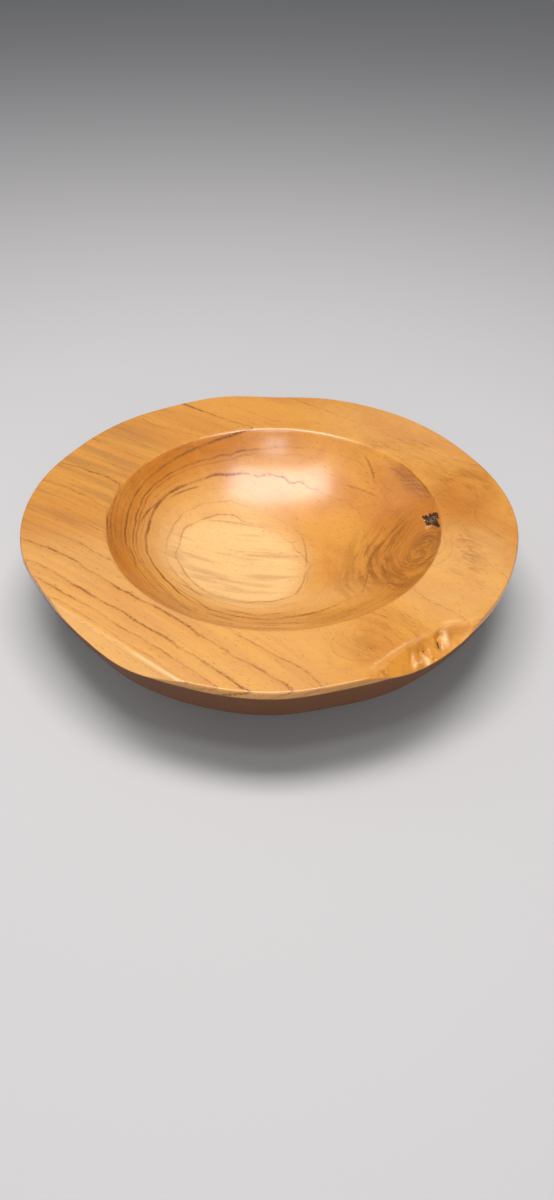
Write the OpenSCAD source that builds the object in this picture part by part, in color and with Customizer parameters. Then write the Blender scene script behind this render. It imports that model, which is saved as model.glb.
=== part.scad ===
// Carved wooden bowl: one block of wood with a broad flat rim, a round turned hollow
// and a rounded underside, and the dead knot that is locked in the hollow's wall.
// Units are millimetres. The origin is the centre of the foot on the hollow's axis, +Z up.

/* [Rim] */
// Mean radius of the hand-cut outline
rim_r = 146; // [120:1:180]
// Height of the narrow, nearly upright band round the rim's edge
edge_h = 3.5; // [3:0.5:9]
// How far the lower arris of that band stands out past its upper arris
edge_flare = 0.8; // [0:0.2:2]

/* [Body] */
// Height from the foot to the flat top of the rim
body_h = 60; // [50:1:80]
// Radius of the foot that the bowl stands on
foot_r = 70; // [55:1:85]
// Width of the ring that touches the table
foot_ring_w = 12; // [8:1:20]
// Depth of the shallow recess inside that ring
foot_recess_h = 1.5; // [0.5:0.5:3]
// Angle at which the underside meets the edge band, from horizontal
underside_steepness = 79; // [70:1:85]

/* [Hollow] */
// Radius of the hollow's mouth
hollow_r = 101; // [80:1:102]
// Depth of the hollow at its centre
hollow_depth = 43; // [30:1:48]

/* [Flat facet on the rim] */
// Direction of the facet's middle, anticlockwise from +X
facet_angle = 232; // [0:1:359]
// How far the facet reaches in from the mean outline
facet_w = 11; // [8:0.5:16]
// Slope of the facet, from horizontal
facet_tilt = 27; // [20:1:40]

/* [Natural bite in the rim] */
// Direction of the bite's middle, anticlockwise from +X
bite_angle = 305; // [0:1:359]
// How far the bite reaches in from the mean outline
bite_w = 16.5; // [12:0.5:17]
// Half of the bite's length along the rim's edge
bite_half_l = 41; // [30:1:50]
// How far the bite has dropped below the rim's top where it meets the mean outline
bite_drop = 6.9; // [3:0.1:9]
// Radius of the small natural pits in the bite
pit_r = 3; // [2:0.5:5]

/* [Knot] */
// Direction of the knot, anticlockwise from +X
knot_angle = 2; // [0:1:359]
// Drop from the rim's top to the knot's middle, down the hollow's wall
knot_drop = 5; // [5:0.5:15]
// Radius of the knot with its bark
knot_r = 4.5; // [3:0.5:6]
// Thickness of the ring of dead bark round the knot
bark_t = 1.3; // [0.8:0.1:2]
// Length of the dead branch inside the wall
knot_l = 15; // [8:1:20]
// Gap all round each piece of the knot
knot_gap = 0.05; // [0.02:0.01:0.2]
// How far the dead wood has shrunk back from the face of the wall
knot_sink = 0.8; // [0.2:0.1:1.5]

/* [Hidden] */

// How far the upper arris stands outside the mean outline, at equal steps anticlockwise from +X
outline = [0, 0, -0.5, 1, 1.5, 1, -2.5, 3, 3.5, 5, 5, 6,
           5.5, 3, -2, -3.5, -1.5, -2, -1.5, -3.5, -2.5, -3, -3, -2];
around = 120;        // points round each ring of the outer skin
rings = 18;          // rings up the underside
clear = 1;           // how far a cutter runs past the face that it opens
cutter = 60;         // how far a cutting block reaches outside the rim

dish_r = (pow(hollow_r, 2) + pow(hollow_depth, 2)) / (2 * hollow_depth);
dish_z = body_h - hollow_depth + dish_r;

wood = [0.80, 0.55, 0.27];
bark = [0.16, 0.09, 0.05];
dead_wood = [0.36, 0.24, 0.16];

// ---- outer skin -----------------------------------------------------------------

function wrapped(i) = outline[(i + len(outline)) % len(outline)];

// Smooth curve through four neighbouring values, f running from 0 to 1 between b and c
function between(a, b, c, d, f) =
    0.5 * (2 * b + (c - a) * f + (2 * a - 5 * b + 4 * c - d) * pow(f, 2)
           + (3 * b - a - 3 * c + d) * pow(f, 3));

// Radius of the upper arris in a direction
function outline_r(angle) =
    let(u = angle / 360 * len(outline), i = floor(u))
    rim_r + between(wrapped(i - 1), wrapped(i), wrapped(i + 1), wrapped(i + 2), u - i);

function ring(radius_at, z) =
    [for (i = [0:around - 1]) let(a = i * 360 / around) [radius_at(a) * cos(a), radius_at(a) * sin(a), z]];

// Share of the way out from the foot to the lower arris, and of the way up to it
function out_share(t) = sin(t) / sin(underside_steepness);
function up_share(t) = (1 - cos(t)) / (1 - cos(underside_steepness));

function skin_rings() = concat(
    [for (k = [0:rings])
        let(t = k * underside_steepness / rings)
        ring(function(a) foot_r + (outline_r(a) + edge_flare - foot_r) * out_share(t),
             (body_h - edge_h) * up_share(t))],
    [ring(function(a) outline_r(a), body_h)]);

module skin() {
    levels = skin_rings();
    last = len(levels) - 1;
    polyhedron(
        points = [for (level = levels) each level],
        faces = concat(
            [[for (i = [0:around - 1]) i]],
            [for (k = [0:last - 1], i = [0:around - 1])
                let(j = (i + 1) % around)
                [k * around + i, (k + 1) * around + i, (k + 1) * around + j, k * around + j]],
            [[for (i = [around - 1:-1:0]) last * around + i]]));
}

// ---- cutters --------------------------------------------------------------------

module hollow() translate([0, 0, dish_z]) sphere(r = dish_r, $fn = 200);

module foot_recess()
    translate([0, 0, -clear]) cylinder(r = foot_r - foot_ring_w, h = foot_recess_h + clear, $fn = 96);

module facet()
    rotate([0, 0, facet_angle])
    translate([rim_r - facet_w, 0, body_h])
    rotate([0, facet_tilt, 0])
    translate([-clear, -rim_r, 0])
    cube([cutter, 2 * rim_r, cutter]);

// The bite is a shallow scoop out of a ball. Its rim on the flat top is a circle of radius
// bite_r, which reaches in by bite_w and leaves the outline bite_half_l either side.
bite_in = rim_r - bite_w;
bite_chord = sqrt(pow(rim_r, 2) - pow(bite_half_l, 2)) - bite_in;
bite_r = (pow(bite_chord, 2) + pow(bite_half_l, 2)) / (2 * bite_chord);
bite_x = bite_in + bite_r;
bite_z = (pow(bite_r, 2) - pow(bite_x - rim_r, 2) - pow(bite_drop, 2)) / (2 * bite_drop);
bite_ball_r = sqrt(pow(bite_r, 2) + pow(bite_z, 2));

// Depth of the scoop below the rim's top at a distance from the axis and to the side
function bite_depth(x, y) = sqrt(pow(bite_ball_r, 2) - pow(bite_x - x, 2) - pow(y, 2)) - bite_z;

// Each pit: [how far in from the mean outline, how far to the side, share of pit_r]
pits = [[9.5, 0, 0.8], [11.5, 12, 1], [6, -8, 0.7]];

module bite()
    rotate([0, 0, bite_angle]) {
        translate([bite_x, 0, body_h + bite_z]) sphere(r = bite_ball_r, $fn = 200);
        for (pit = pits)
            let(x = rim_r - pit[0], r = pit[2] * pit_r)
            translate([x, pit[1], body_h - bite_depth(x, pit[1]) + r / 2]) sphere(r = r, $fn = 32);
    }

// ---- knot -----------------------------------------------------------------------

knot_z = body_h - knot_drop;
knot_x = sqrt(pow(dish_r, 2) - pow(dish_z - knot_z, 2));
knot_lean = atan2(knot_x, dish_z - knot_z);   // the branch stands square to the wall

// Places its children with +Z along the branch and out of the wall, 0 on the wall's face
module at_knot()
    rotate([0, 0, knot_angle]) translate([knot_x, 0, knot_z]) rotate([0, -knot_lean, 0]) children();

// A solid or hollow length of the branch, cut back to a face that follows the hollow's wall
module branch(r_out, r_in, bottom)
    difference() {
        at_knot() translate([0, 0, bottom]) cylinder(r = r_out, h = knot_r - bottom, $fn = 48);
        at_knot() translate([0, 0, dish_r - knot_sink]) sphere(r = dish_r, $fn = 200);
        if (r_in > 0)
            at_knot() translate([0, 0, bottom - clear])
                cylinder(r = r_in, h = knot_r - bottom + 2 * clear, $fn = 48);
    }

module knot_bark() color(bark) branch(knot_r - knot_gap, knot_r - bark_t, knot_gap - knot_l);
module knot_heart() color(dead_wood) branch(knot_r - bark_t - knot_gap, 0, knot_gap - knot_l);

// ---- bowl -----------------------------------------------------------------------

module bowl() color(wood)
    difference() {
        skin();
        hollow();
        foot_recess();
        facet();
        bite();
        at_knot() translate([0, 0, -knot_l]) cylinder(r = knot_r, h = knot_l + clear, $fn = 48);
    }

bowl();
knot_bark();
knot_heart();
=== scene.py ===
"""Looks of the carved wooden bowl: the wood's surface, its figure and finish, and the dead knot.

The bowl is one dense mesh of rings round the turning axis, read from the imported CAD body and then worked
over as a carver leaves it: soft arrises, a sanded top, a fissured bite and a pocket for the knot.
The wood's figure is solid. Each point's place in the growth layers is worked out from where it lies in the
block, so the lines run on from the rim down into the hollow and over the edge.
"""
import math

import bpy
import numpy as np
from mathutils import Matrix, Vector
from mathutils.bvhtree import BVHTree


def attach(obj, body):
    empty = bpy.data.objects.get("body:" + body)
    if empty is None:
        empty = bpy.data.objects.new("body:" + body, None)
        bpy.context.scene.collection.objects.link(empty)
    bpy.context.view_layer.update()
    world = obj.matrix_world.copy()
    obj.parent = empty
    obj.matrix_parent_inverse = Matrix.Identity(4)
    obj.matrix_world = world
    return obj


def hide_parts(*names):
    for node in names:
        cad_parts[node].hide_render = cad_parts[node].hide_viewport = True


MM = 0.001

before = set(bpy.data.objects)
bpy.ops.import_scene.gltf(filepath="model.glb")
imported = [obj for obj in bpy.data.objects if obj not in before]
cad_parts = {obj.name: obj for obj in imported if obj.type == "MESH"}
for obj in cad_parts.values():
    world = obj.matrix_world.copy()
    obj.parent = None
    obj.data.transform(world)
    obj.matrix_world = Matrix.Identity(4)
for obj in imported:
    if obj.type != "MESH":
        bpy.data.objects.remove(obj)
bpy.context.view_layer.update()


# ---- small tools -----------------------------------------------------------------------------


def smoothstep(low, high, x):
    t = np.clip((x - low) / (high - low), 0, 1)
    return t * t * (3 - 2 * t)


def turned(x, y, degrees):
    """Coordinates along and across a direction, in degrees anticlockwise from +X."""
    c, s = math.cos(math.radians(degrees)), math.sin(math.radians(degrees))
    return c * x + s * y, c * y - s * x


class Waves:
    """Smooth noise made of seeded plane waves, the same on every run."""

    def __init__(self, seed, size, count=24, axes=3):
        rng = np.random.default_rng(seed)
        direction = rng.normal(size=(count, axes))
        direction /= np.linalg.norm(direction, axis=1)[:, None]
        self.k = direction * (2 * math.pi / size) * rng.uniform(0.5, 1.6, size=(count, 1))
        self.phase = rng.uniform(0, 2 * math.pi, count)

    def __call__(self, *coords):
        total = 0
        for k, phase in zip(self.k, self.phase):
            total = total + np.sin(sum(ki * c for ki, c in zip(k, coords)) + phase)
        return total / math.sqrt(len(self.phase) / 2)


# ---- the CAD body, read back -----------------------------------------------------------------

AROUND_CAD = 120                     # columns of points round the CAD body's outer skin


def read_skin(node):
    """The outer skin's rings, from the foot up: heights, and radii by ring and column."""
    co = np.array([v.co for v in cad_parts[node].data.vertices])
    radius = np.hypot(co[:, 0], co[:, 1])
    turns = np.arctan2(co[:, 1], co[:, 0]) / (2 * math.pi) * AROUND_CAD
    column = np.round(turns).astype(int) % AROUND_CAD
    on_column = (np.abs(turns - np.round(turns)) < 0.01) & (radius > 0.05)
    levels = {}
    for z, c, r in zip(np.round(co[on_column, 2], 6), column[on_column], radius[on_column]):
        ring = levels.setdefault(float(z), np.zeros(AROUND_CAD))
        ring[c] = max(ring[c], r)
    full = sorted(z for z, ring in levels.items() if (ring > 0).all())
    whole = [z for z, ring in levels.items() if (ring > 0).sum() > AROUND_CAD * 0.6]
    return full, sorted(whole), levels


full_levels, all_levels, skin = read_skin("bowl")
TOP = all_levels[-1]                 # the flat rim
ARRIS = all_levels[-2]               # lower arris of the edge band
BAND = TOP - ARRIS
sound = int(np.argmax([all(skin[z][c] > 0 for z in all_levels) for c in range(AROUND_CAD)]))
foot_r = float(skin[full_levels[0]][sound])
widest = full_levels[-1]             # the highest ring that no cut touches
share = [(skin[z][sound] - foot_r) / (skin[ARRIS][sound] - foot_r) for z in all_levels[:-1]]
FLARE = float(skin[ARRIS][sound] - skin[TOP][sound])
outline_cad = foot_r + (skin[widest] - foot_r) / share[all_levels.index(widest)]

bowl_tree = BVHTree.FromObject(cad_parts["bowl"], bpy.context.evaluated_depsgraph_get())


def cad_hit(start, direction):
    point = bowl_tree.ray_cast(Vector(start), Vector(direction))[0]
    return None if point is None else np.array(point)


FLOOR = float(cad_hit((0, 0, TOP), (0, 0, -1))[2])
MOUTH_R = float(-cad_hit((0, 0, TOP - 0.01 * MM), (-1, 0, 0))[0])
DEPTH = TOP - FLOOR
DISH_R = (MOUTH_R ** 2 + DEPTH ** 2) / (2 * DEPTH)
DISH_Z = FLOOR + DISH_R
RECESS_R = float(cad_hit((0, 0, 0.1 * MM), (1, 0, 0))[0])
RECESS_H = float(cad_hit((0, 0, -0.1), (0, 0, 1))[2])

# The knot's branch stands square to the hollow's wall, so its axis runs through the centre of the
# sphere that the hollow is part of.
DISH_CENTRE = np.array([0, 0, DISH_Z])
heart_points, bark_points = (np.array([v.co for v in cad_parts[name].data.vertices])
                             for name in ("knot_heart", "knot_bark"))
KNOT_AXIS = DISH_CENTRE - bark_points.mean(0)
KNOT_AXIS /= np.linalg.norm(KNOT_AXIS)                                       # out of the wall
KNOT = DISH_CENTRE - KNOT_AXIS * DISH_R
KNOT_SIDE = np.array([-KNOT[1], KNOT[0], 0]) / math.hypot(KNOT[0], KNOT[1])  # along the wall
KNOT_UP = np.cross(KNOT_SIDE, KNOT_AXIS)                                     # up the wall


def at_knot(points):
    """Along the wall, up it and out of it, from the knot's middle."""
    q = points - KNOT
    return q @ KNOT_SIDE, q @ KNOT_UP, q @ KNOT_AXIS


def from_knot(side, up, out):
    return KNOT + side[..., None] * KNOT_SIDE + up[..., None] * KNOT_UP + out[..., None] * KNOT_AXIS


BARK_R, HEART_R = (float(np.hypot(*at_knot(points)[:2]).max()) for points in (bark_points, heart_points))
KNOT_L = float(-at_knot(bark_points)[2].min())

# ---- the bowl's surface ----------------------------------------------------------------------

AROUND = 480                         # columns round the axis, closer together at the bite and the knot
BITE_AT, KNOT_AT = 306, math.degrees(math.atan2(KNOT[1], KNOT[0]))


def columns():
    """Angles of the columns, in degrees."""
    a = np.linspace(0, 360, 7201)
    from_knot_side = (a - KNOT_AT + 180) % 360 - 180
    density = 1 + 2.5 * np.exp(-((a - BITE_AT) / 14) ** 4) + 3 * np.exp(-(from_knot_side / 7) ** 4)
    share_of_turn = np.concatenate([[0], np.cumsum((density[1:] + density[:-1]) / 2)])
    return np.interp(np.arange(AROUND) / AROUND * share_of_turn[-1], share_of_turn, a)


ANGLES = columns()
COS, SIN = np.cos(np.radians(ANGLES)), np.sin(np.radians(ANGLES))


def round_the_rim(values):
    """A value given at the CAD's columns, as a smooth curve at this mesh's columns."""
    waves = np.fft.rfft(values) / len(values)
    turn = np.exp(1j * np.outer(np.radians(ANGLES), np.arange(len(waves))))
    return waves[0].real + 2 * (turn[:, 1:-1] @ waves[1:-1]).real


def along(values, at):
    """Smooth curve through equally spaced values, read at places counted in steps of them."""
    v = np.concatenate([[2 * values[0] - values[1]], values, [2 * values[-1] - values[-2]]])
    i = np.clip(np.floor(at).astype(int), 0, len(values) - 2)
    f = at - i
    a, b, c, d = v[i], v[i + 1], v[i + 2], v[i + 3]
    bend = (2 * a - 5 * b + 4 * c - d) * f ** 2 + (3 * b - a - 3 * c + d) * f ** 3
    return 0.5 * (2 * b + (c - a) * f + bend)


LOWER = round_the_rim(outline_cad)   # radius of the lower arris
UPPER = LOWER - FLARE                # radius of the upper arris
UNDER_Z = np.array(all_levels[:-1])
UNDER_SHARE = np.array(share)


def skin_radius(z):
    """Radius of the outer skin at a height, for each column."""
    step = np.interp(z, UNDER_Z, np.arange(len(UNDER_Z)))
    under = foot_r + (LOWER - foot_r) * along(UNDER_SHARE, step)
    return np.where(z > ARRIS, LOWER - FLARE * (z - ARRIS) / BAND, under)


# How the rings are shared out over the surface
HOLLOW_RINGS, LIP_RINGS, RIM_RINGS, EDGE_RINGS, BAND_RINGS, UNDER_RINGS = 54, 30, 50, 8, 10, 34
FOOT_RINGS, RECESS_WALL_RINGS, RECESS_RINGS = 5, 3, 6
LIP_IN, LIP_OUT, EDGE_IN = 11 * MM, 4 * MM, 2.4 * MM     # closely ringed zones at the lip and the edge

# The ring at each corner, counted from the hollow's middle
LIP = HOLLOW_RINGS + round(LIP_RINGS * LIP_IN / (LIP_IN + LIP_OUT)) - 1
RIM_START = HOLLOW_RINGS + LIP_RINGS
EDGE = RIM_START + RIM_RINGS + EDGE_RINGS - 1
LOWER_ARRIS = EDGE + BAND_RINGS
FOOT = LOWER_ARRIS + UNDER_RINGS + FOOT_RINGS


def dish_z(r):
    return DISH_Z - np.sqrt(np.maximum(DISH_R ** 2 - r ** 2, 0))


def rim_cuts(radii):
    """How deep the facet and the bite have cut below the rim, by ring and column, with soft borders."""
    depth = np.zeros(radii.shape)
    for k, ring in enumerate(radii):
        for i, r in enumerate(ring):
            hit = cad_hit((r * COS[i], r * SIN[i], TOP + 10 * MM), (0, 0, -1))
            depth[k, i] = TOP - hit[2] if hit is not None else depth[k - 1, i]
    depth = (np.roll(depth, 1, 1) + 2 * depth + np.roll(depth, -1, 1)) / 4
    depth[1:-1] = (depth[:-2] + 2 * depth[1:-1] + depth[2:]) / 4
    return depth


def groove(x, y, start, end, width, depth):
    """A fissure between two points: depth at (x, y), all in metres, tapering to its ends."""
    (x0, y0), (x1, y1) = start, end
    dx, dy = x1 - x0, y1 - y0
    t = np.clip(((x - x0) * dx + (y - y0) * dy) / (dx * dx + dy * dy), 0, 1)
    off = np.hypot(x - x0 - t * dx, y - y0 - t * dy)
    return depth * np.exp(-(off / width) ** 2) * np.sqrt(np.clip(4.4 * t * (1 - t) + 0.1, 0, 1))


# Fissures in the bite: two ends, width and depth, in mm
FISSURES = [((88, -96.5), (85, -103.5), 1.0, 1.2), ((85, -103.5), (86, -109.5), 1.0, 1.6),
            ((75.5, -109.5), (75, -116), 0.9, 1.0), ((70.5, -114.5), (70, -121), 0.8, 0.8),
            ((91, -95.5), (99, -94), 0.7, 0.7)]
# Worm-like specks in and beside it: place, radius and depth, in mm
SPECKS = [((77.5, -111), 0.8, 1.9), ((78.6, -113), 0.7, 1.7), ((80, -114.6), 0.7, 1.6),
          ((82.6, -115.7), 0.6, 1.4), ((88, -101), 0.6, 1.3), ((88.6, -104), 0.5, 1.2),
          ((103.7, -94), 0.7, 1.5), ((55.4, -128.8), 0.8, 1.5), ((53, -131), 0.8, 1.1)]
# Painted highlights on the lumps beside the fissures: two ends and half-width, in mm
GLINTS = [((88.9, -100), (89.3, -107), 1.7), ((78.2, -115), (79.6, -120), 1.5),
         ((72.6, -117.5), (72, -122), 0.9), ((88, -94.8), (98.5, -92), 1.3)]
# The bite's inner border: direction in degrees and radius in mm. It ends at the left in a small step.
BITE_BORDER = ((289.7, 146), (290.3, 137), (292.6, 133.7), (297.3, 130), (302.5, 128.3), (307.5, 129.3),
               (312.5, 131), (316.6, 135.5), (321, 141.5), (323, 147))
NO_BORDER = 200                      # a radius outside the bowl, in mm, for all other directions
BORDER_DROP = 0.65 * MM              # how far the bite has dropped just inside its border


def bite_step(radii):
    """The shallow start of the bite, out to its border, by ring and column."""
    at, border = np.array(BITE_BORDER).T
    border = np.interp(ANGLES, at, border, left=NO_BORDER, right=NO_BORDER) * MM
    return BORDER_DROP * smoothstep(-0.2 * MM, 1.6 * MM, radii - border)


def bite_detail(x, y, cut):
    """Extra depth inside the bite, from its lumps, fissures and specks, and how dark it is there."""
    inside = smoothstep(0.1 * MM, 1.0 * MM, cut)
    lumps = Waves(5, 12 * MM, axes=2)(x, y) * 0.16 * MM + Waves(6, 5 * MM, axes=2)(x, y) * 0.05 * MM
    torn = smoothstep(64 * MM, 72 * MM, x) * smoothstep(101 * MM, 93 * MM, x)
    deep = sum(groove(x, y, np.array(start) * MM, np.array(end) * MM, width * MM, depth * MM)
               for start, end, width, depth in FISSURES)
    for (speck_x, speck_y), radius, depth in SPECKS:
        off_squared = (x - speck_x * MM) ** 2 + (y - speck_y * MM) ** 2
        deep = deep + depth * MM * np.exp(-off_squared / (radius * MM) ** 2)
    extra = (0.25 + 0.75 * torn) * (lumps + 0.2 * MM) + deep
    return inside * extra, inside * smoothstep(0.8 * MM, 1.7 * MM, deep)


def lump_glints(x, y):
    """How strongly the painted highlights on the lumps show."""
    total = sum(groove(x, y, np.array(start) * MM, np.array(end) * MM, width * MM, 1)
                for start, end, width in GLINTS)
    return np.clip(total, 0, 1)


def in_bite(angles):
    """1 in the directions of the bite and 0 elsewhere."""
    return smoothstep(24, 18, np.abs(angles - BITE_AT))


def rim_radii():
    """Radii on the rim, by ring and column, from outside the lip to the upper arris."""
    outward = np.linspace(0, 1, RIM_RINGS + 1)[1:, None] ** 0.8
    rim = MOUTH_R + LIP_OUT + (UPPER - EDGE_IN - MOUTH_R - LIP_OUT) * outward
    edge = UPPER - EDGE_IN + (EDGE_IN - 0.05 * MM) * np.linspace(0, 1, EDGE_RINGS + 1)[1:, None]
    return np.concatenate([rim, edge])


def carve_rim(radii):
    """Depth of the cuts in the rim, by ring and column, and the marks that the material reads there."""
    depth = np.maximum(rim_cuts(radii), bite_step(radii))
    x, y = radii * COS, radii * SIN
    extra, dark = bite_detail(x, y, depth)
    bite = in_bite(ANGLES)
    # Painted highlights: a glint line along the facet's inner border, glints on the lumps in the bite and a
    # fainter one along the bite's border.
    facet_glint = smoothstep(0.03 * MM, 0.25 * MM, depth) * smoothstep(1.1 * MM, 0.4 * MM, depth) * (1 - bite)
    border = smoothstep(0.02 * MM, 0.12 * MM, depth) * smoothstep(0.75 * MM, 0.3 * MM, depth)
    bite_glints = np.maximum(lump_glints(x, y) * (1 - dark), 0.45 * border) * bite
    marks = {
        "crack": dark * bite,
        "bitten": smoothstep(0.1 * MM, 0.8 * MM, depth) * bite,
        "faceted": smoothstep(0.1 * MM, 0.6 * MM, depth) * (1 - bite),
        # arris: the painted highlights, laid on in cream
        "arris": np.maximum(facet_glint, bite_glints)}
    return depth + extra * bite, marks


def bowl_profile(radii, depth):
    """Radius and height, by ring and column, from the hollow's middle out, over and under to the foot's."""
    parts = []

    def add(r, z):
        parts.append(np.stack(np.broadcast_arrays(r, z), -1) * np.ones((1, AROUND, 1)))

    r = np.linspace(0, MOUTH_R - LIP_IN, HOLLOW_RINGS + 1)[1:, None]
    add(r, dish_z(r))
    r = np.linspace(MOUTH_R - LIP_IN, MOUTH_R + LIP_OUT, LIP_RINGS + 1)[1:, None]
    add(r, np.where(r < MOUTH_R, dish_z(r), TOP))
    add(radii, TOP - depth)

    z_edge = TOP - depth[-1]
    z_arris = np.minimum(ARRIS, z_edge - 0.8 * MM)
    z = z_edge + (z_arris - z_edge) * np.linspace(0, 1, BAND_RINGS + 1)[1:, None]
    parts[-1][-1, :, 0] = skin_radius(z_edge)
    add(np.array([skin_radius(level) for level in z]), z)

    down = np.linspace(0, 1, UNDER_RINGS + 1)[1:, None] ** 1.6
    step = np.interp(z_arris, UNDER_Z, np.arange(len(UNDER_Z))) * (1 - down)
    add(foot_r + (LOWER - foot_r) * along(UNDER_SHARE, step), along(UNDER_Z, step))

    add(np.linspace(foot_r, RECESS_R, FOOT_RINGS + 1)[1:, None], 0)
    add(RECESS_R, np.linspace(0, RECESS_H, RECESS_WALL_RINGS + 1)[1:, None])
    add(np.linspace(RECESS_R, 0, RECESS_RINGS + 2)[1:-1, None], RECESS_H)
    return np.concatenate(parts)


def soften(profile, at, reach, passes, weight=1.0):
    """Rounds a corner of every column's profile by relaxing the rings within reach of it."""
    k = np.arange(len(profile))[:, None, None]
    w = 0.5 * np.clip(1 - np.abs(k - at) / reach, 0, 1) * np.reshape(weight, (1, -1, 1))
    for _ in range(passes):
        profile[1:-1] += (w * ((np.roll(profile, 1, 0) + np.roll(profile, -1, 0)) / 2 - profile))[1:-1]


def round_corners(profile):
    """Softens the lip, the two arrises of the edge band and the edge of the foot."""
    crisp = smoothstep(70, 25, np.abs(ANGLES - 325))           # the lip is sharpest at the front right
    soften(profile, LIP, 9, 16, 1 - 0.8 * crisp)
    soften(profile, EDGE, 5, 9)
    soften(profile, LOWER_ARRIS, 3, 3)
    soften(profile, FOOT, 3, 4)


def swells(seed, size, *place):
    """Broad soft waves, from 0 to 1."""
    return np.clip(0.5 + 0.3 * Waves(seed, size, axes=len(place))(*place), 0, 1)


def sand(profile):
    """Hand-sanded waves. They only take wood away, so the bowl stays inside its sizes."""
    k = np.arange(len(profile))[:, None]
    on_rim = smoothstep(LIP - 2, LIP + 8, k) * smoothstep(LOWER_ARRIS, EDGE, k)
    on_side = smoothstep(EDGE, LOWER_ARRIS, k) * smoothstep(LOWER_ARRIS + UNDER_RINGS, LOWER_ARRIS + 20, k)
    in_hollow = smoothstep(LIP, LIP - 8, k)
    r, z = profile[..., 0], profile[..., 1]
    x, y = r * COS, r * SIN
    z -= on_rim * 0.30 * MM * swells(11, 70 * MM, x, y)
    z -= in_hollow * 0.16 * MM * swells(12, 55 * MM, x, y)
    r -= on_side * 0.6 * MM * swells(13, 60 * MM, x, y, z)


def bowl_rings():
    """The bowl's points by ring and column, and how strongly each mark shows at them."""
    radii = rim_radii()
    depth, rim_marks = carve_rim(radii)
    profile = bowl_profile(radii, depth)
    round_corners(profile)
    sand(profile)
    r, z = profile[..., 0], profile[..., 1]
    marks = {}
    for name, values in rim_marks.items():
        marks[name] = np.zeros(r.shape)
        marks[name][RIM_START:RIM_START + len(radii)] = values
    k = np.arange(len(profile))[:, None]
    # the underside: its colour is darkened there as painted shade, and its finish is duller
    marks["under"] = smoothstep(LOWER_ARRIS, LOWER_ARRIS + 2, k) * np.ones(r.shape)
    return np.stack([r * COS, r * SIN, z], -1), marks


# The knot's torn hole is a star. Each point: direction in degrees from along the wall, then reach and
# half-width in mm.
KNOT_POINTS = [(-36, 10.5, 3.0), (-8, 6.6, 3.0), (80, 5.0, 2.4), (128, 6.4, 2.6), (163, 14, 2.8),
               (-68, 6.0, 3.0)]
POCKET_MARGIN = 1.2 * MM             # how far round the pocket the wall's points are drawn in to its edge
POCKET_R = BARK_R + 0.12 * MM
POCKET_L = KNOT_L + 0.3 * MM


def torn_hole(side, up):
    """1 inside the knot's star-shaped hole and 0 outside it."""
    hole = smoothstep(5.0 * MM, 4.4 * MM, np.hypot(side, up))
    for direction, reach, width in KNOT_POINTS:
        a, b = turned(side, up, direction)
        edge = width * MM * np.clip(1 - a / (reach * MM), 0, 1) ** 0.8
        point = smoothstep(edge + 0.25 * MM, edge - 0.35 * MM, np.abs(b))
        hole = np.maximum(hole, point * (a > 0) * (a < reach * MM))
    return hole


def knot_pocket(points):
    """Sinks the pocket of the knot into the hollow's wall, and tears the wood away round it."""
    side, up, out = at_knot(points)
    far = np.hypot(side, up)
    near = (far < 13 * MM) & (np.abs(out) < 4 * MM)
    rough = Waves(41, 1.7 * MM)(*np.moveaxis(points, -1, 0))
    hole = torn_hole(side + 0.25 * MM * rough, up) * near
    lip = (smoothstep(8 * MM, 5 * MM, far) * near - hole).clip(0, 1) * (side < 0) * (up < 0)
    drawn_in = POCKET_R + POCKET_MARGIN
    q = np.clip(far / drawn_in, 0, 1)
    steps = [0, 0.55, 0.80, 1]
    radius = np.interp(q, steps, [0, POCKET_R * 0.985, POCKET_R, drawn_in])
    sink = np.interp(q, steps, [POCKET_L, POCKET_L, 0, 0])
    scale = np.where(far > 1e-9, radius / np.maximum(far, 1e-9), 1)
    torn = (0.95 + 0.22 * rough) * MM * hole * (q > 0.7) - 0.12 * MM * lip
    inside = near & (far < drawn_in)
    moved = from_knot(np.where(inside, side * scale, side), np.where(inside, up * scale, up),
                      np.where(inside, out - sink, out) - torn)
    # a pale patch below and left of the hole, laid on in cream with the painted highlights
    pale_patch = 0.36 * near * smoothstep(3.5 * MM, 1.5 * MM, np.hypot(side + 4.5 * MM, up + 3 * MM))
    return np.where(near[..., None], moved, points), hole, (pale_patch - hole).clip(0, 1)


# ---- meshes ----------------------------------------------------------------------------------


def quads_between(count, around, closed=False):
    """Faces between neighbouring rings of points, and between the last ring and the first where closed."""
    k, i = np.meshgrid(np.arange(count if closed else count - 1), np.arange(around), indexing="ij")
    j, following = (i + 1) % around, (k + 1) % count
    quads = np.stack([k * around + i, following * around + i, following * around + j, k * around + j], -1)
    return quads.reshape(-1, 4).tolist()


def new_piece(name, points, faces):
    mesh = bpy.data.meshes.new(name)
    mesh.from_pydata(points.tolist(), [], faces)
    mesh.shade_smooth()
    piece = bpy.data.objects.new(name, mesh)
    bpy.context.scene.collection.objects.link(piece)
    return piece


def ring_mesh(name, rings, first, last):
    """A closed mesh from rings of points, with a point to close each end."""
    count, around = rings.shape[:2]
    points = np.concatenate([rings.reshape(-1, 3), [first, last]])
    i = np.arange(around)
    j = (i + 1) % around
    end = (count - 1) * around
    start_fan = np.stack([np.full(around, count * around), i, j], -1).tolist()
    end_fan = np.stack([np.full(around, count * around + 1), end + j, end + i], -1).tolist()
    return new_piece(name, points, quads_between(count, around) + start_fan + end_fan)


def looped_mesh(name, rings):
    """A closed mesh from rings of points, with the last ring joined to the first."""
    return new_piece(name, rings.reshape(-1, 3), quads_between(*rings.shape[:2], closed=True))


def points_of(piece):
    return np.array([v.co for v in piece.data.vertices])


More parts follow.
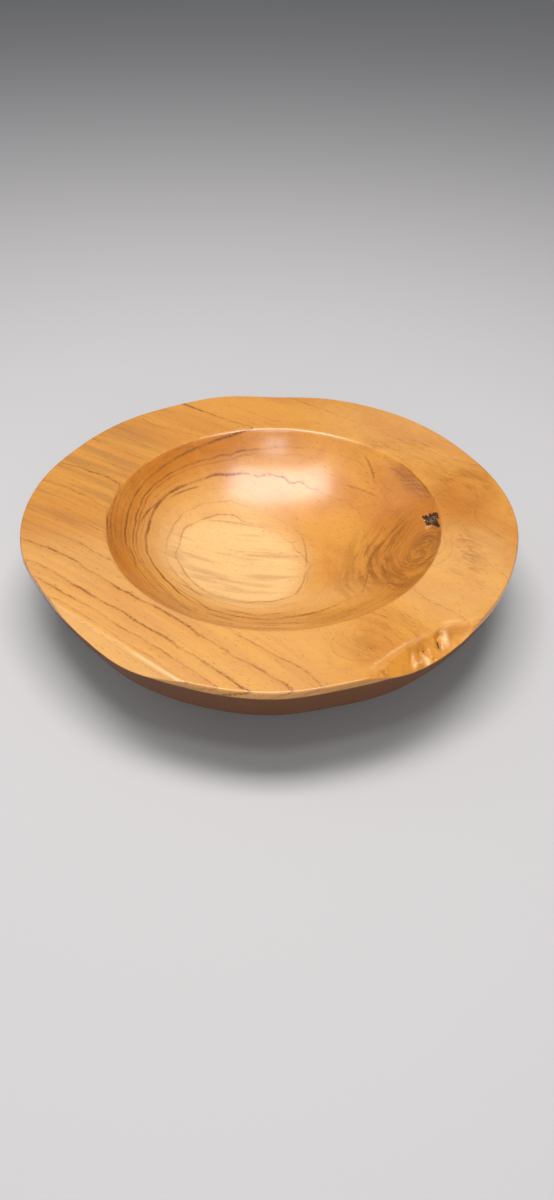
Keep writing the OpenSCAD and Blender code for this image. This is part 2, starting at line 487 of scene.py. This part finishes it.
def paint(piece, name, values):
    """Stores a number or a vector at each point, for the material to read."""
    values = np.asarray(values, np.float32)
    vector = values.ndim == 2
    layer = piece.data.attributes.new(name, "FLOAT_VECTOR" if vector else "FLOAT", "POINT")
    layer.data.foreach_set("vector" if vector else "value", values.ravel())


# ---- the wood's figure -----------------------------------------------------------------------

# Lengths in this section are in mm. On the rim the layers show as long arcs round a place far off the
# front left.
ARC_X, ARC_Y = -700, -900
ARC_LEVEL, ARC_WIDTH = 1037, 32      # where along the rim the layers turn from steep to flat, and how softly

# Dark lines on the hollow's left wall: where each crosses it, from the axis towards -X, and how bold it is
WALL_LINES = ((61, 0.55), (67, 0.4), (79.4, 1), (84.6, 0.5), (86, 1), (90.6, 1))
# The dark lines of the other years: level across the layers, and how bold. Some of these levels
# were measured.
LAYER_LINES = ((-76, 0.5), (-66, 0.6), (-58, 0.4), (-51, 0.4), (-45.5, 0.05), (-33, 0.1), (-26.5, 0.1),
               (-20.2, 0.1), (-15.4, 0.3), (-11.6, 0.5), (-9, 0.7), (-6.7, 0.9), (-4.8, 0.4), (-2.2, 0.45),
               (0, 1), (2.9, 1), (5, 0.7), (6.9, 0.3), (9.2, 0.8), (12, 0.35), (15.5, 0.7), (19.5, 0.4),
               (24, 0.5), (29, 0.7), (35, 0.5), (42, 0.6))

# Places where the layers bulge round a branch: x, y, half-widths along and across, turn and height
EYES = [(84, -17, 21, 15, -80, 20), (50, -108, 24, 18, 0, 7), (121, 26, 20, 15, 60, 3),
        (112, -52, 15, 9, -70, 2.5), (78, 62, 26, 10, -50, 3)]

# Single dark threads, where a bundle of pores or a fine crack comes to the surface: two ends and boldness
VEINS = [(60, 75, 66, 54, 0.8), (45, 62, 69, 42, 0.6), (65, -37, 71, -52, 0.9), (71, -52, 79, -50, 0.7),
         (-69, 41, -49, 59, 0.9), (-58, -31, -41, -43, 0.8), (-38, -65, -22, -71, 1),
         (-28, -54, -9, -57, 0.8), (-9, -57, 6, -52, 0.5), (-34, -80, -20, -81, 0.7),
         (75, 60, 86, 43, 0.5), (57, -5, 54, -34, 0.5), (17, 33, 20, -2, 0.55), (20, -2, 12, -30, 0.6),
         (12, -30, -14, -38, 0.4), (-46, 35, -14, 38, 0.45), (81, 59, 91, 41, 0.6), (88, 46, 97, 24, 0.7),
         (81, 50, 93, 29, 0.45), (-62, -38, -36, -58, 0.7), (-12, -71, 20, -72, 0.8),
         (-20, -86, 10, -84, 0.6), (0, -60, 30, -58, 0.5), (-66, -52, -44, -72, 0.7),
         (16, -80, 44, -72, 0.5), (-84, 8, -74, 36, 0.8), (-88, -16, -80, -38, 0.8)]

# The middle of the eye in the right wall, which the brown arcs run round
SWIRL_X, SWIRL_Y = 87, -18


def veins(p):
    """Signed distance to the nearest vein, and how strongly it shows, for each point."""
    nearest, strength = np.full(len(p), 99.0), np.zeros(len(p))
    for x0, y0, x1, y1, bold in VEINS:
        length = math.hypot(x1 - x0, y1 - y0)
        a, b = turned(p[:, 0] - x0, p[:, 1] - y0, math.degrees(math.atan2(y1 - y0, x1 - x0)))
        b = b - 0.06 * length * np.sin(math.pi * np.clip(a / length, 0, 1))     # a slight bow
        along = smoothstep(-0.05 * length, 0.25 * length, a) * smoothstep(1.05 * length, 0.75 * length, a)
        closer = (np.abs(b) < np.abs(nearest)) & (along > 0)
        nearest = np.where(closer, b, nearest)
        strength = np.where(closer, bold * along * smoothstep(6, 3, np.abs(b)), strength)
    return nearest, strength


def growth(p):
    """Each point's level across the growth layers.

    The layers lie nearly flat under the hollow's floor and tilt more toward the front left of the rim."""
    depth = p[:, 2] - TOP / MM
    loose = 0.5 + 0.7 * smoothstep(0, -12, depth)
    wander = [(Waves(seed, 62)(*p.T) * 1.5 + Waves(seed + 7, 17)(*p.T) * 0.6) * loose
              for seed in (31, 32, 33)]
    x, y = p[:, 0] + wander[0], p[:, 1] + wander[1]
    out = (np.hypot(x - ARC_X, y - ARC_Y) - ARC_LEVEL) / ARC_WIDTH
    across = depth - ARC_WIDTH * (0.09 * out + 0.105 * (out - np.log(np.cosh(out))))
    x, y, d = x / 100, y / 100, depth / 43
    across += d * (-11 - 15 * x - 5 * y + 7 * x ** 2 - 4 * x * y - 7.5 * y ** 2) + d ** 2 * (6 * x + 2 * y)
    across += wander[2] * (0.08 + 0.25 * smoothstep(0, -12, depth))
    for ex, ey, long_w, short_w, turn, height in EYES:
        a, b = turned(p[:, 0] - ex + wander[1], p[:, 1] - ey + wander[0], turn)
        across += height * np.exp(-(a / long_w) ** 2 - (b / short_w) ** 2)
    return across


def dark_years():
    """Level and boldness of every year's dark line, in order of level."""
    places, bold = np.array(WALL_LINES).T
    on_wall = growth(np.stack([-places, 0 * places, dish_z(places * MM) / MM], -1))
    return np.array(sorted([*LAYER_LINES, *zip(on_wall, bold)])).T


def steepness(rings, values):
    """How fast a value changes over the surface, per mm."""
    total = 0
    for axis in (0, 1):
        pad = [(0, 0)] * 2
        pad[axis] = (1, 1)
        mode = "wrap" if axis else "edge"
        v = np.pad(values, pad, mode=mode)
        q = np.pad(rings, pad + [(0, 0)], mode=mode) / MM
        ahead, behind = [slice(None)] * 2, [slice(None)] * 2
        ahead[axis], behind[axis] = slice(2, None), slice(None, -2)
        length = np.linalg.norm(q[tuple(ahead)] - q[tuple(behind)], axis=-1)
        total = total + ((v[tuple(ahead)] - v[tuple(behind)]) / np.maximum(length, 0.05)) ** 2
    return np.sqrt(total)


def spot(p, x, y, long_w, short_w, turn, power=2):
    """A soft oval patch on plan, from 0 to 1."""
    a, b = turned(p[:, 0] - x, p[:, 1] - y, turn)
    return np.exp(-(np.hypot(a / long_w, b / short_w)) ** power)


class Zones:
    """Where each point of the bowl lies, and how far it belongs to each part of the surface."""

    def __init__(self, p, marks):
        self.p, self.x, self.y = p, p[:, 0], p[:, 1]
        self.r, self.depth = np.hypot(self.x, self.y), p[:, 2] - TOP / MM
        self.hollow = (self.depth < -0.8) & (self.r < MOUTH_R / MM)
        self.rim = ~self.hollow
        self.left_wall = self.hollow * smoothstep(48, 70, self.r) * smoothstep(40, -15, self.x)
        self.front_rim = self.rim * smoothstep(0, -45, self.y) * smoothstep(60, 10, self.x)
        self.faceted, self.under, self.bitten = marks["faceted"], marks["under"], marks["bitten"]

    def patches(self, *patches):
        """Soft oval patches added up. Each: strength, place, half-widths along and across, turn and power."""
        return sum(strength * spot(self.p, *oval) for strength, *oval in patches)


def fibres(p, across):
    """Each point's place along the arcs, over them and across the layers, bulging round the eyes."""
    along_arc = ARC_LEVEL * np.arctan2(p[:, 1] - ARC_Y, p[:, 0] - ARC_X)
    over_arc = np.hypot(p[:, 0] - ARC_X, p[:, 1] - ARC_Y)
    for ex, ey, long_w, short_w, turn, height in EYES:
        bulge = spot(p, ex, ey, long_w * 1.2, short_w * 1.2, turn)
        over_arc = over_arc + bulge * height * 1.1
        along_arc = along_arc + bulge * height * 0.7
    return np.stack([along_arc, over_arc, across], -1)


def years_per_mm(grid, years):
    """How closely the years lie on the surface, smoothed a little round the rim."""
    rate = steepness(grid, years[:-2].reshape(grid.shape[:2]))
    rate = (np.roll(rate, 1, 1) + 2 * rate + np.roll(rate, -1, 1)) / 4
    return np.maximum(np.concatenate([rate.ravel(), [0.1, 0.1]]), 0.02)


def line_strength(z):
    """How strongly the years' dark lines show in each part of the bowl."""
    lines = 0.42 + 0.58 * z.left_wall + 0.35 * z.front_rim + 0.1 * z.rim * smoothstep(-20, -80, z.x)
    lines -= 0.22 * smoothstep(10, 50, z.x) * smoothstep(-60, 20, z.y)
    lines -= z.patches((0.16, 50, -108, 34, 28, 0, 4))
    lines += z.hollow * z.patches((0.45, 84, -17, 30, 20, -80, 4), (0.35, -22, 2, 54, 46, 0, 8),
                                  (0.40, -35, -48, 45, 20, -25, 4), (0.45, 0, -68, 60, 20, 0, 4))
    lines += 0.45 * z.rim * smoothstep(-10, -60, z.x) * smoothstep(-30, 30, z.y)
    lines *= (1 - 0.75 * z.faceted) * (1 - 0.7 * z.under)
    return np.clip(lines, 0.05, 1)


def swirl(z):
    """Place round and out from the eye, and how strongly the arcs that circle it show."""
    out = np.hypot((z.x - SWIRL_X) * 1.05, (z.y - SWIRL_Y) * 0.66)
    out = np.maximum(out + Waves(71, 34)(*z.p.T) + 0.15 * Waves(72, 12)(*z.p.T), 0.5)
    arcs = np.exp(-((out - 23) / 9) ** 2) * smoothstep(94, 74, z.x) * z.hollow
    return np.stack([(z.x - SWIRL_X) / (out + 4), (z.y - SWIRL_Y) / (out + 4), out], -1), arcs


def shades(z, arcs):
    """How strongly each shade of colour shows at each point."""
    swirled = 0.95 * arcs + z.hollow * z.patches(
        (0.85, 90, -26, 24, 12, 75, 4), (0.50, 52, -14, 36, 13, 80, 4), (0.30, 80, -56, 22, 10, 55, 4))
    curled = (0.30 * arcs + 0.40 * z.left_wall * smoothstep(88, 98, z.r) * smoothstep(0, -50, z.x)
              + z.hollow * z.patches((0.65, 90, -16, 13, 9, 75, 4), (0.65, 91, 38, 28, 6, 116, 4),
                                     (0.20, 50, -22, 40, 16, 80, 4), (0.30, -5, -64, 60, 12, 0, 4))
              + z.rim * z.patches((0.40, 118, 28, 30, 18, 60, 6), (0.50, 110, -40, 30, 9, 85, 3),
                                  (0.25, 100, 62, 40, 16, -50, 4))
              + z.patches((0.55, 78, 80, 30, 6, 0, 3), (0.35, 58, -104, 26, 16, 30, 4),
                          (0.30, -14, 88, 26, 8, 20, 2)))
    # deep: darker wood, and painted shade on the left wall below the lip
    deep = (z.hollow * z.patches((0.80, 86, -2, 76, 30, 90, 4)) + z.left_wall * smoothstep(76, 95, z.r)
            + z.rim * z.patches((0.70, 121, 20, 33, 19, 75, 6)) + 0.06 * z.rim * smoothstep(-80, -120, z.x)
            + 0.45 * curled + 0.35 * z.bitten)
    banded = z.rim * (smoothstep(-60, -100, z.x) * smoothstep(-80, -30, z.y)
                      + z.patches((0.7, 122, -8, 36, 22, 85, 4)))
    # pale: paler wood, and on the hollow's floor painted light as well
    pale = (z.hollow * z.patches((0.45, -23, 1, 45, 38, 0, 8), (0.65, -28, 4, 49, 54, 0, 6),
                                 (0.35, 5, -38, 50, 18, 0, 3))
            + z.rim * z.patches((0.28, 103, -54, 46, 34, 62, 6), (0.15, 80, 95, 60, 30, -30, 5))
            + 0.25 * z.front_rim + 0.15 * z.faceted)
    return {"swirled": swirled, "curled": curled, "deep": deep, "banded": banded, "pale": pale}


def figure(piece, grid, marks):
    """Works out the wood's figure at each point of the bowl and stores it."""
    p = points_of(piece) / MM
    z = Zones(p, marks)
    across = growth(p)
    levels, bold = dark_years()
    years = np.interp(across, levels, np.arange(len(levels)))
    paint(piece, "fibre", fibres(p, across))
    paint(piece, "years", years)
    paint(piece, "rate", years_per_mm(grid, years))
    bold = np.interp(across, levels, bold) ** (1 + 0.6 * z.left_wall)
    paint(piece, "lines", line_strength(z) * bold * (1 + 0.45 * z.left_wall))
    wide = 1 + 2.2 * z.hollow * smoothstep(-35, -80, z.y)
    paint(piece, "wide", wide)
    paint(piece, "straight", smoothstep(45, -10, z.x) * (1 - 0.6 * z.hollow))
    gap, strength = veins(p)
    paint(piece, "vein_gap", gap / wide)
    paint(piece, "vein", strength * (z.depth > -DEPTH / MM))
    round_eye, arcs = swirl(z)
    paint(piece, "swirl", round_eye)
    for name, values in shades(z, arcs).items():
        paint(piece, name, np.clip(values, 0, 1))


# ---- materials -------------------------------------------------------------------------------


class Nodes:
    """Short names for building a material."""

    def __init__(self, name):
        self.material = bpy.data.materials.new(name)
        self.material.use_nodes = True
        self.tree = self.material.node_tree
        self.shader = self.tree.nodes["Principled BSDF"]

    def put(self, socket, value):
        if isinstance(value, bpy.types.NodeSocket):
            self.tree.links.new(value, socket)
        else:
            socket.default_value = value

    def node(self, kind, inputs=(), **settings):
        made = self.tree.nodes.new(kind)
        for key, value in settings.items():
            setattr(made, key, value)
        for key, value in dict(inputs).items():
            self.put(made.inputs[key], value)
        return made

    def read(self, name, vector=False):
        made = self.node("ShaderNodeAttribute", attribute_name=name)
        return made.outputs["Vector" if vector else "Fac"]

    def math(self, operation, a, b=0.0):
        return self.node("ShaderNodeMath", {0: a, 1: b}, operation=operation).outputs[0]

    def times(self, a, b):
        return self.math("MULTIPLY", a, b)

    def plus(self, a, b):
        return self.math("ADD", a, b)

    def scaled(self, vector, x, y, z):
        return self.node("ShaderNodeVectorMath", {0: vector, 1: (x, y, z)}, operation="MULTIPLY").outputs[0]

    def noise(self, vector, scale=1.0, detail=2.0, rough=0.5, distort=0.0):
        inputs = {"Vector": vector, "Scale": scale, "Detail": detail, "Roughness": rough,
                  "Distortion": distort}
        return self.node("ShaderNodeTexNoise", inputs).outputs["Fac"]

    def step(self, value, low, high, to_low=0.0, to_high=1.0):
        inputs = {0: value, 1: low, 2: high, 3: to_low, 4: to_high}
        return self.node("ShaderNodeMapRange", inputs, interpolation_type="SMOOTHSTEP").outputs[0]

    def mix(self, share_of_b, a, b):
        made = self.node("ShaderNodeMix", data_type="RGBA")
        for index, value in ((0, share_of_b), (6, a), (7, b)):
            whole = isinstance(value, (float, bpy.types.NodeSocket))
            self.put(made.inputs[index], value if whole else (*value, 1))
        return made.outputs[2]


GOLD = (0.605, 0.278, 0.047)
AMBER = (0.47, 0.160, 0.013)
STREAK_BROWN = (0.50, 0.195, 0.035)
STRAW = (0.82, 0.54, 0.24)
# cream for the painted highlights, and for the pale patch by the knot
CREAM = (0.88, 0.62, 0.30)
LINE_BROWN = (0.15, 0.046, 0.008)
FLAME_BROWN = (0.22, 0.074, 0.008)
# painted shade, laid over the underside
UNDERSIDE_SHADE_BROWN = (0.090, 0.022, 0.005)
BITE_GOLD = (0.58, 0.235, 0.022)
STAIN_BROWN = (0.34, 0.125, 0.014)
STREAK_GREY = (0.50, 0.28, 0.11)
BAND_BROWN = (0.34, 0.155, 0.040)
HOLE_DARK = (0.045, 0.016, 0.007)


class Wood(Nodes):
    """The bowl's oiled wood: one colour, laid over step by step, and what more than one step needs."""

    def __init__(self):
        super().__init__("oiled_teak")
        self.fibre, self.rate, self.lines = self.read("fibre", True), self.read("rate"), self.read("lines")
        self.under, self.crack, self.bitten = self.read("under"), self.read("crack"), self.read("bitten")
        self.place = self.node("ShaderNodeTexCoord").outputs["Object"]
        self.fine = self.along_fibres(0.10, 1.7, 1.7, detail=3, rough=0.6)
        self.clouds = self.along_fibres(0.012, 0.035, 0.035, detail=3)
        self.mottle = self.noise(self.scaled(self.place, 48, 48, 48), detail=6, rough=0.65, distort=0.9)
        jag = self.math("SUBTRACT", self.along_fibres(0.25, 0.9, 0.9, detail=3), 0.5)
        self.jag = self.times(jag, 1.6)
        self.pores = self.step(self.along_fibres(0.26, 1.5, 1.6, detail=2, rough=0.6), 0.61, 0.72)
        self.colour = GOLD

    def along_fibres(self, x, y, z, **settings):
        """Noise that is drawn out along the fibres."""
        return self.noise(self.scaled(self.fibre, x, y, z), **settings)

    def over(self, share, colour):
        """Lays a share of another colour over the colour so far."""
        self.colour = self.mix(share, self.colour, colour)


def ground_colour(n):
    """Straight streaks where the grain runs true, clouds where it doesn't, and blurred brown bands."""
    streaks = n.along_fibres(0.016, 0.30, 0.30, detail=4, rough=0.55)
    tone = n.node("ShaderNodeMix", {0: n.read("straight"), 2: n.mottle, 3: streaks}).outputs[0]
    tone = n.plus(n.times(tone, 0.60), n.times(n.clouds, 0.60))
    n.over(n.step(tone, 0.46, 0.80, 0.0, 0.90), STREAK_BROWN)
    n.over(n.step(n.fine, 0.35, 0.75, 0.0, 0.42), STREAK_BROWN)
    # amber where deep shows: darker wood, with painted shade on the left wall below the lip
    n.over(n.times(n.read("deep"), n.step(tone, 0.40, 0.75, 0.55, 1.0)), AMBER)
    bands = n.step(n.along_fibres(0.012, 0.17, 0.17, detail=4, rough=0.6), 0.44, 0.64, 0.12, 0.62)
    n.over(n.times(n.read("banded"), bands), BAND_BROWN)


def floor_oval(n):
    """The pale oval on the floor, partly paler wood and partly painted light, with greyish streaks across it.
    """
    lengthwise = n.node("ShaderNodeMapping", {0: n.place, 2: (0, 0, math.radians(17)), 3: (14, 150, 60)})
    grey = n.step(n.noise(lengthwise.outputs[0], detail=4, rough=0.6, distort=0.35), 0.48, 0.64)
    pale = n.read("pale")
    n.over(n.times(pale, 0.74), STRAW)
    n.over(n.times(n.times(pale, grey), 0.62), STREAK_GREY)


def year_lines(n):
    """Each year: a line of open pores, sharp on one side, and a shade that fades on the other.

    Single veins are drawn with the same pores. Returns how porous the wood is."""
    years = n.read("years")
    off = n.math("DIVIDE", n.math("SUBTRACT", years, n.math("ROUND", years)), n.rate)
    off = n.plus(off, n.jag)
    patchy = n.step(n.along_fibres(0.035, 0.05, 0.05, detail=2), 0.38, 0.62, 0.25, 1.0)
    strength = n.times(n.lines, patchy)
    reach = n.plus(n.times(n.lines, 1.15), 0.55)
    reach = n.times(reach, n.read("wide"))
    reach = n.math("MINIMUM", reach, n.math("DIVIDE", 0.42, n.rate))
    core = n.step(n.math("ABSOLUTE", off), 0.1, reach, 1.0, 0.0)
    shade = n.times(n.step(off, -0.8, 0.4), n.step(off, 0.5, 5.5, 1.0, 0.0))
    dots = n.plus(n.along_fibres(0.36, 1.5, 1.8, detail=2, rough=0.7), n.times(core, 0.17))
    porous = n.times(n.step(dots, 0.60, 0.74), n.times(core, strength))
    n.over(n.times(n.times(shade, strength), 0.34), AMBER)
    n.over(n.times(n.times(core, strength), 0.38), LINE_BROWN)
    n.over(n.times(n.math("POWER", porous, 0.7), 0.90), LINE_BROWN)

    vein_off = n.math("ABSOLUTE", n.plus(n.read("vein_gap"), n.times(n.jag, 1.2)))
    vein = n.times(n.step(vein_off, 0.1, 0.9, 1.0, 0.0), n.read("vein"))
    vein = n.times(vein, n.step(dots, 0.35, 0.60, 0.35, 1.0))
    n.over(n.times(vein, 0.85), LINE_BROWN)
    return porous


def flames(n):
    """Brown flames in layers, where the grain turns round a branch, and arcs round the eye."""
    brown = n.read("curled")
    bands = n.along_fibres(0.015, 0.06, 0.40, detail=3, rough=0.65)
    curl = n.along_fibres(0.09, 0.24, 0.12, detail=5, rough=0.65, distort=1.5)
    layered = n.plus(bands, n.times(curl, 0.8))
    curled = n.step(n.plus(layered, n.times(brown, 0.12)), 0.84, 1.06)
    threads = n.step(n.along_fibres(0.03, 0.7, 1.1, detail=3, rough=0.6), 0.40, 0.60, 0.35, 1.0)
    curled = n.times(curled, threads)
    n.over(n.times(n.times(brown, curled), 0.95), FLAME_BROWN)
    arcs = n.noise(n.scaled(n.read("swirl", True), 1.1, 1.1, 0.26), detail=5, rough=0.62, distort=0.35)
    arcs = n.times(n.step(arcs, 0.43, 0.58), n.read("swirled"))
    n.over(n.times(arcs, 0.72), FLAME_BROWN)


def cut_faces(n):
    """The colours of the bite and the holes, painted shade on the underside, painted highlights on the
    facet's border and in the bite, and a pale patch by the knot.
    """
    # painted shade: the underside is darkened as though it lay in shadow
    n.over(n.times(n.under, 0.90), UNDERSIDE_SHADE_BROWN)
    n.over(n.times(n.bitten, 0.55), BITE_GOLD)
    n.over(n.times(n.bitten, n.step(n.mottle, 0.47, 0.62, 0.0, 0.55)), STAIN_BROWN)
    glint_share = n.math("MAXIMUM", n.step(n.clouds, 0.40, 0.58, 0.15, 0.75), n.times(n.bitten, 0.60))
    # the painted highlights, laid on in cream
    n.over(n.times(n.read("arris"), glint_share), CREAM)
    n.over(n.step(n.crack, 0.2, 0.8), HOLE_DARK)


def finish(n, porous):
    """A satin oil finish, duller in the bite, in the holes and on the underside."""
    inputs = n.shader.inputs
    n.put(inputs["Base Color"], n.colour)
    rough = n.plus(n.step(n.fine, 0.3, 0.8, 0.28, 0.38), n.times(porous, 0.25))
    rough = n.plus(rough, n.times(n.math("MAXIMUM", n.crack, n.under), 0.3))
    rough = n.plus(rough, n.times(n.bitten, 0.10))
    n.put(inputs["Roughness"], rough)
    dull = n.math("MAXIMUM", n.math("MAXIMUM", n.under, n.crack), n.times(n.bitten, 0.8))
    n.put(inputs["Coat Weight"], n.step(dull, 0.0, 1.0, 0.42, 0.05))
    inputs["Coat Roughness"].default_value = 0.18
    inputs["Specular IOR Level"].default_value = 0.30
    open_pores = n.plus(n.times(porous, 0.8), n.times(n.pores, 0.5))
    height = n.math("SUBTRACT", n.times(n.fine, 0.5), open_pores)
    bump = n.node("ShaderNodeBump", {"Height": height, "Strength": 0.25, "Distance": 0.15 * MM})
    n.put(inputs["Normal"], bump.outputs["Normal"])


def wood():
    n = Wood()
    ground_colour(n)
    floor_oval(n)
    porous = year_lines(n)
    flames(n)
    n.over(n.times(n.pores, 0.50), LINE_BROWN)
    cut_faces(n)
    finish(n, porous)
    return n.material


def dead_wood(name, dark, light, scale):
    n = Nodes(name)
    place = n.node("ShaderNodeTexCoord").outputs["Object"]
    grain = n.noise(n.scaled(place, 1 / MM, 1 / MM, 1 / MM), scale=scale, detail=5, rough=0.65)
    n.put(n.shader.inputs["Base Color"], n.mix(n.step(grain, 0.40, 0.66), dark, light))
    n.put(n.shader.inputs["Roughness"], n.step(grain, 0.3, 0.7, 0.60, 0.85))
    n.shader.inputs["Specular IOR Level"].default_value = 0.15
    bump = n.node("ShaderNodeBump", {"Height": grain, "Strength": 0.6, "Distance": 0.3 * MM})
    n.put(n.shader.inputs["Normal"], bump.outputs["Normal"])
    return n.material


# ---- pieces ----------------------------------------------------------------------------------


def make_bowl():
    rings, marks = bowl_rings()
    rings, hole, pale_patch = knot_pocket(rings)
    marks["crack"] = np.maximum(marks["crack"], hole)
    marks["arris"] = np.maximum(marks["arris"], pale_patch)
    middle_floor = rings[0].mean(0) * [0, 0, 1]
    piece = ring_mesh("bowl_wood", rings, middle_floor, (0, 0, RECESS_H))
    marks = {name: np.concatenate([values.ravel(), values[[0, -1], 0]]) for name, values in marks.items()}
    for name in ("crack", "bitten", "under", "arris"):
        paint(piece, name, marks[name])
    figure(piece, rings, marks)
    piece.data.materials.append(wood())
    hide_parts("bowl")
    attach(piece, "root")


HEART_SUNK, BARK_SUNK = -1.2 * MM, -0.7 * MM       # where each face lies, out of the wall
KNOT_BOTTOM = -KNOT_L + 0.1 * MM


def branch_rings(r_in, r_out, top, ripple, seed):
    """Rings of a rough-faced length of the dead branch, from its middle or its bore out and down."""
    turns = np.linspace(0, 2 * math.pi, 96, endpoint=False)
    c, s = np.cos(turns), np.sin(turns)
    rough = Waves(seed, 2.2 * MM, axes=2)
    coarse = Waves(seed + 1, 5 * MM, axes=2)
    rings = []

    def add(r, out):
        rings.append(from_knot(r * c, r * s, out * np.ones_like(c)))

    if r_in:
        add(r_in, KNOT_BOTTOM)
    for r in np.linspace(r_in or r_out / 14, r_out, 14):
        drop = top + ripple * 0.5 * (rough(r * c, r * s) + coarse(r * c, r * s))
        add(r, drop - 0.25 * MM * smoothstep(r_out - 0.5 * MM, r_out, r))
    add(r_out, KNOT_BOTTOM)
    return np.array(rings)


def finish_knot(piece, node, material):
    piece.data.materials.append(material)
    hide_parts(node)
    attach(piece, "root")


def on_knot_axis(out):
    return from_knot(np.zeros(1), np.zeros(1), np.full(1, out))[0]


def make_heart():
    rings = branch_rings(0, HEART_R, HEART_SUNK, 0.35 * MM, 51)
    piece = ring_mesh("knot_heart_wood", rings, on_knot_axis(HEART_SUNK), on_knot_axis(KNOT_BOTTOM))
    material = dead_wood("dead_heartwood", (0.030, 0.013, 0.007), (0.26, 0.15, 0.09), 1.1)
    finish_knot(piece, "knot_heart", material)


def make_bark():
    rings = branch_rings(HEART_R + 0.05 * MM, BARK_R, BARK_SUNK, 0.30 * MM, 61)
    piece = looped_mesh("knot_bark_ring", rings)
    finish_knot(piece, "knot_bark", dead_wood("dead_bark", (0.02, 0.008, 0.005), (0.20, 0.10, 0.06), 0.9))


# ---- floor, light and camera -----------------------------------------------------------------


def make_floor():
    bpy.ops.mesh.primitive_circle_add(vertices=96, radius=6, fill_type="NGON")
    floor = bpy.context.object
    floor.name = "pale_floor"
    n = Nodes("pale_floor")
    n.shader.inputs["Base Color"].default_value = (0.50, 0.50, 0.51, 1)
    n.shader.inputs["Roughness"].default_value = 0.9
    floor.data.materials.append(n.material)


def soft_box(name, place, aim, width, depth, watts, colour=(1, 1, 1)):
    light = bpy.data.lights.new(name, "AREA")
    light.shape = "RECTANGLE"
    light.size, light.size_y = width, depth
    light.energy = watts
    light.color = colour
    lamp = bpy.data.objects.new(name, light)
    lamp.location = place
    if aim:
        lamp.rotation_euler = (Vector(aim) - Vector(place)).to_track_quat("-Z", "Y").to_euler()
    bpy.context.scene.collection.objects.link(lamp)


def make_lights():
    soft_box("overhead", (-0.05, 0.03, 1.15), None, 0.82, 0.34, 14.3, (1.0, 0.95, 0.93))
    soft_box("front_overhead", (0.0, -0.42, 1.20), (0, 0, 0), 0.22, 0.16, 1.6)
    soft_box("front_fill", (0.15, -1.5, 0.75), (0, 0, 0.03), 1.2, 0.7, 7.6, (1.0, 0.98, 0.95))
    soft_box("left_fill", (-1.3, 0.6, 0.9), (0, 0, 0.03), 0.9, 0.9, 2, (0.95, 0.97, 1.0))
    world = bpy.data.worlds.new("soft_room")
    world.use_nodes = True
    world.node_tree.nodes["Background"].inputs["Color"].default_value = (0.80, 0.82, 0.85, 1)
    world.node_tree.nodes["Background"].inputs["Strength"].default_value = 0.26
    bpy.context.scene.world = world


# The camera, from the hollow's centre on the rim's plane: where it stands, what it looks at, its turn
CAMERA_FROM = np.array([2.04, -430.5, 316.3]) * MM
CAMERA_AIM = np.array([2.04, -77.4, 0]) * MM
CAMERA_ROLL = -0.386
CAMERA_LENS, CAMERA_SENSOR = 26.4, 36


def make_camera():
    camera = bpy.data.cameras.new("camera")
    camera.lens = CAMERA_LENS
    camera.sensor_width = CAMERA_SENSOR
    camera.clip_start = 0.01
    holder = bpy.data.objects.new("camera", camera)
    back = Vector(CAMERA_FROM - CAMERA_AIM).normalized()
    right = Vector((0, 0, 1)).cross(back).normalized()
    up = back.cross(right)
    c, s = math.cos(math.radians(CAMERA_ROLL)), math.sin(math.radians(CAMERA_ROLL))
    axes = Matrix((c * right - s * up, s * right + c * up, back)).transposed()
    holder.matrix_world = Matrix.Translation(Vector(CAMERA_FROM) + Vector((0, 0, TOP))) @ axes.to_4x4()
    bpy.context.scene.collection.objects.link(holder)
    bpy.context.scene.camera = holder


make_bowl()
make_bark()
make_heart()
make_floor()
make_lights()
make_camera()
bpy.context.scene.view_settings.view_transform = "Standard"
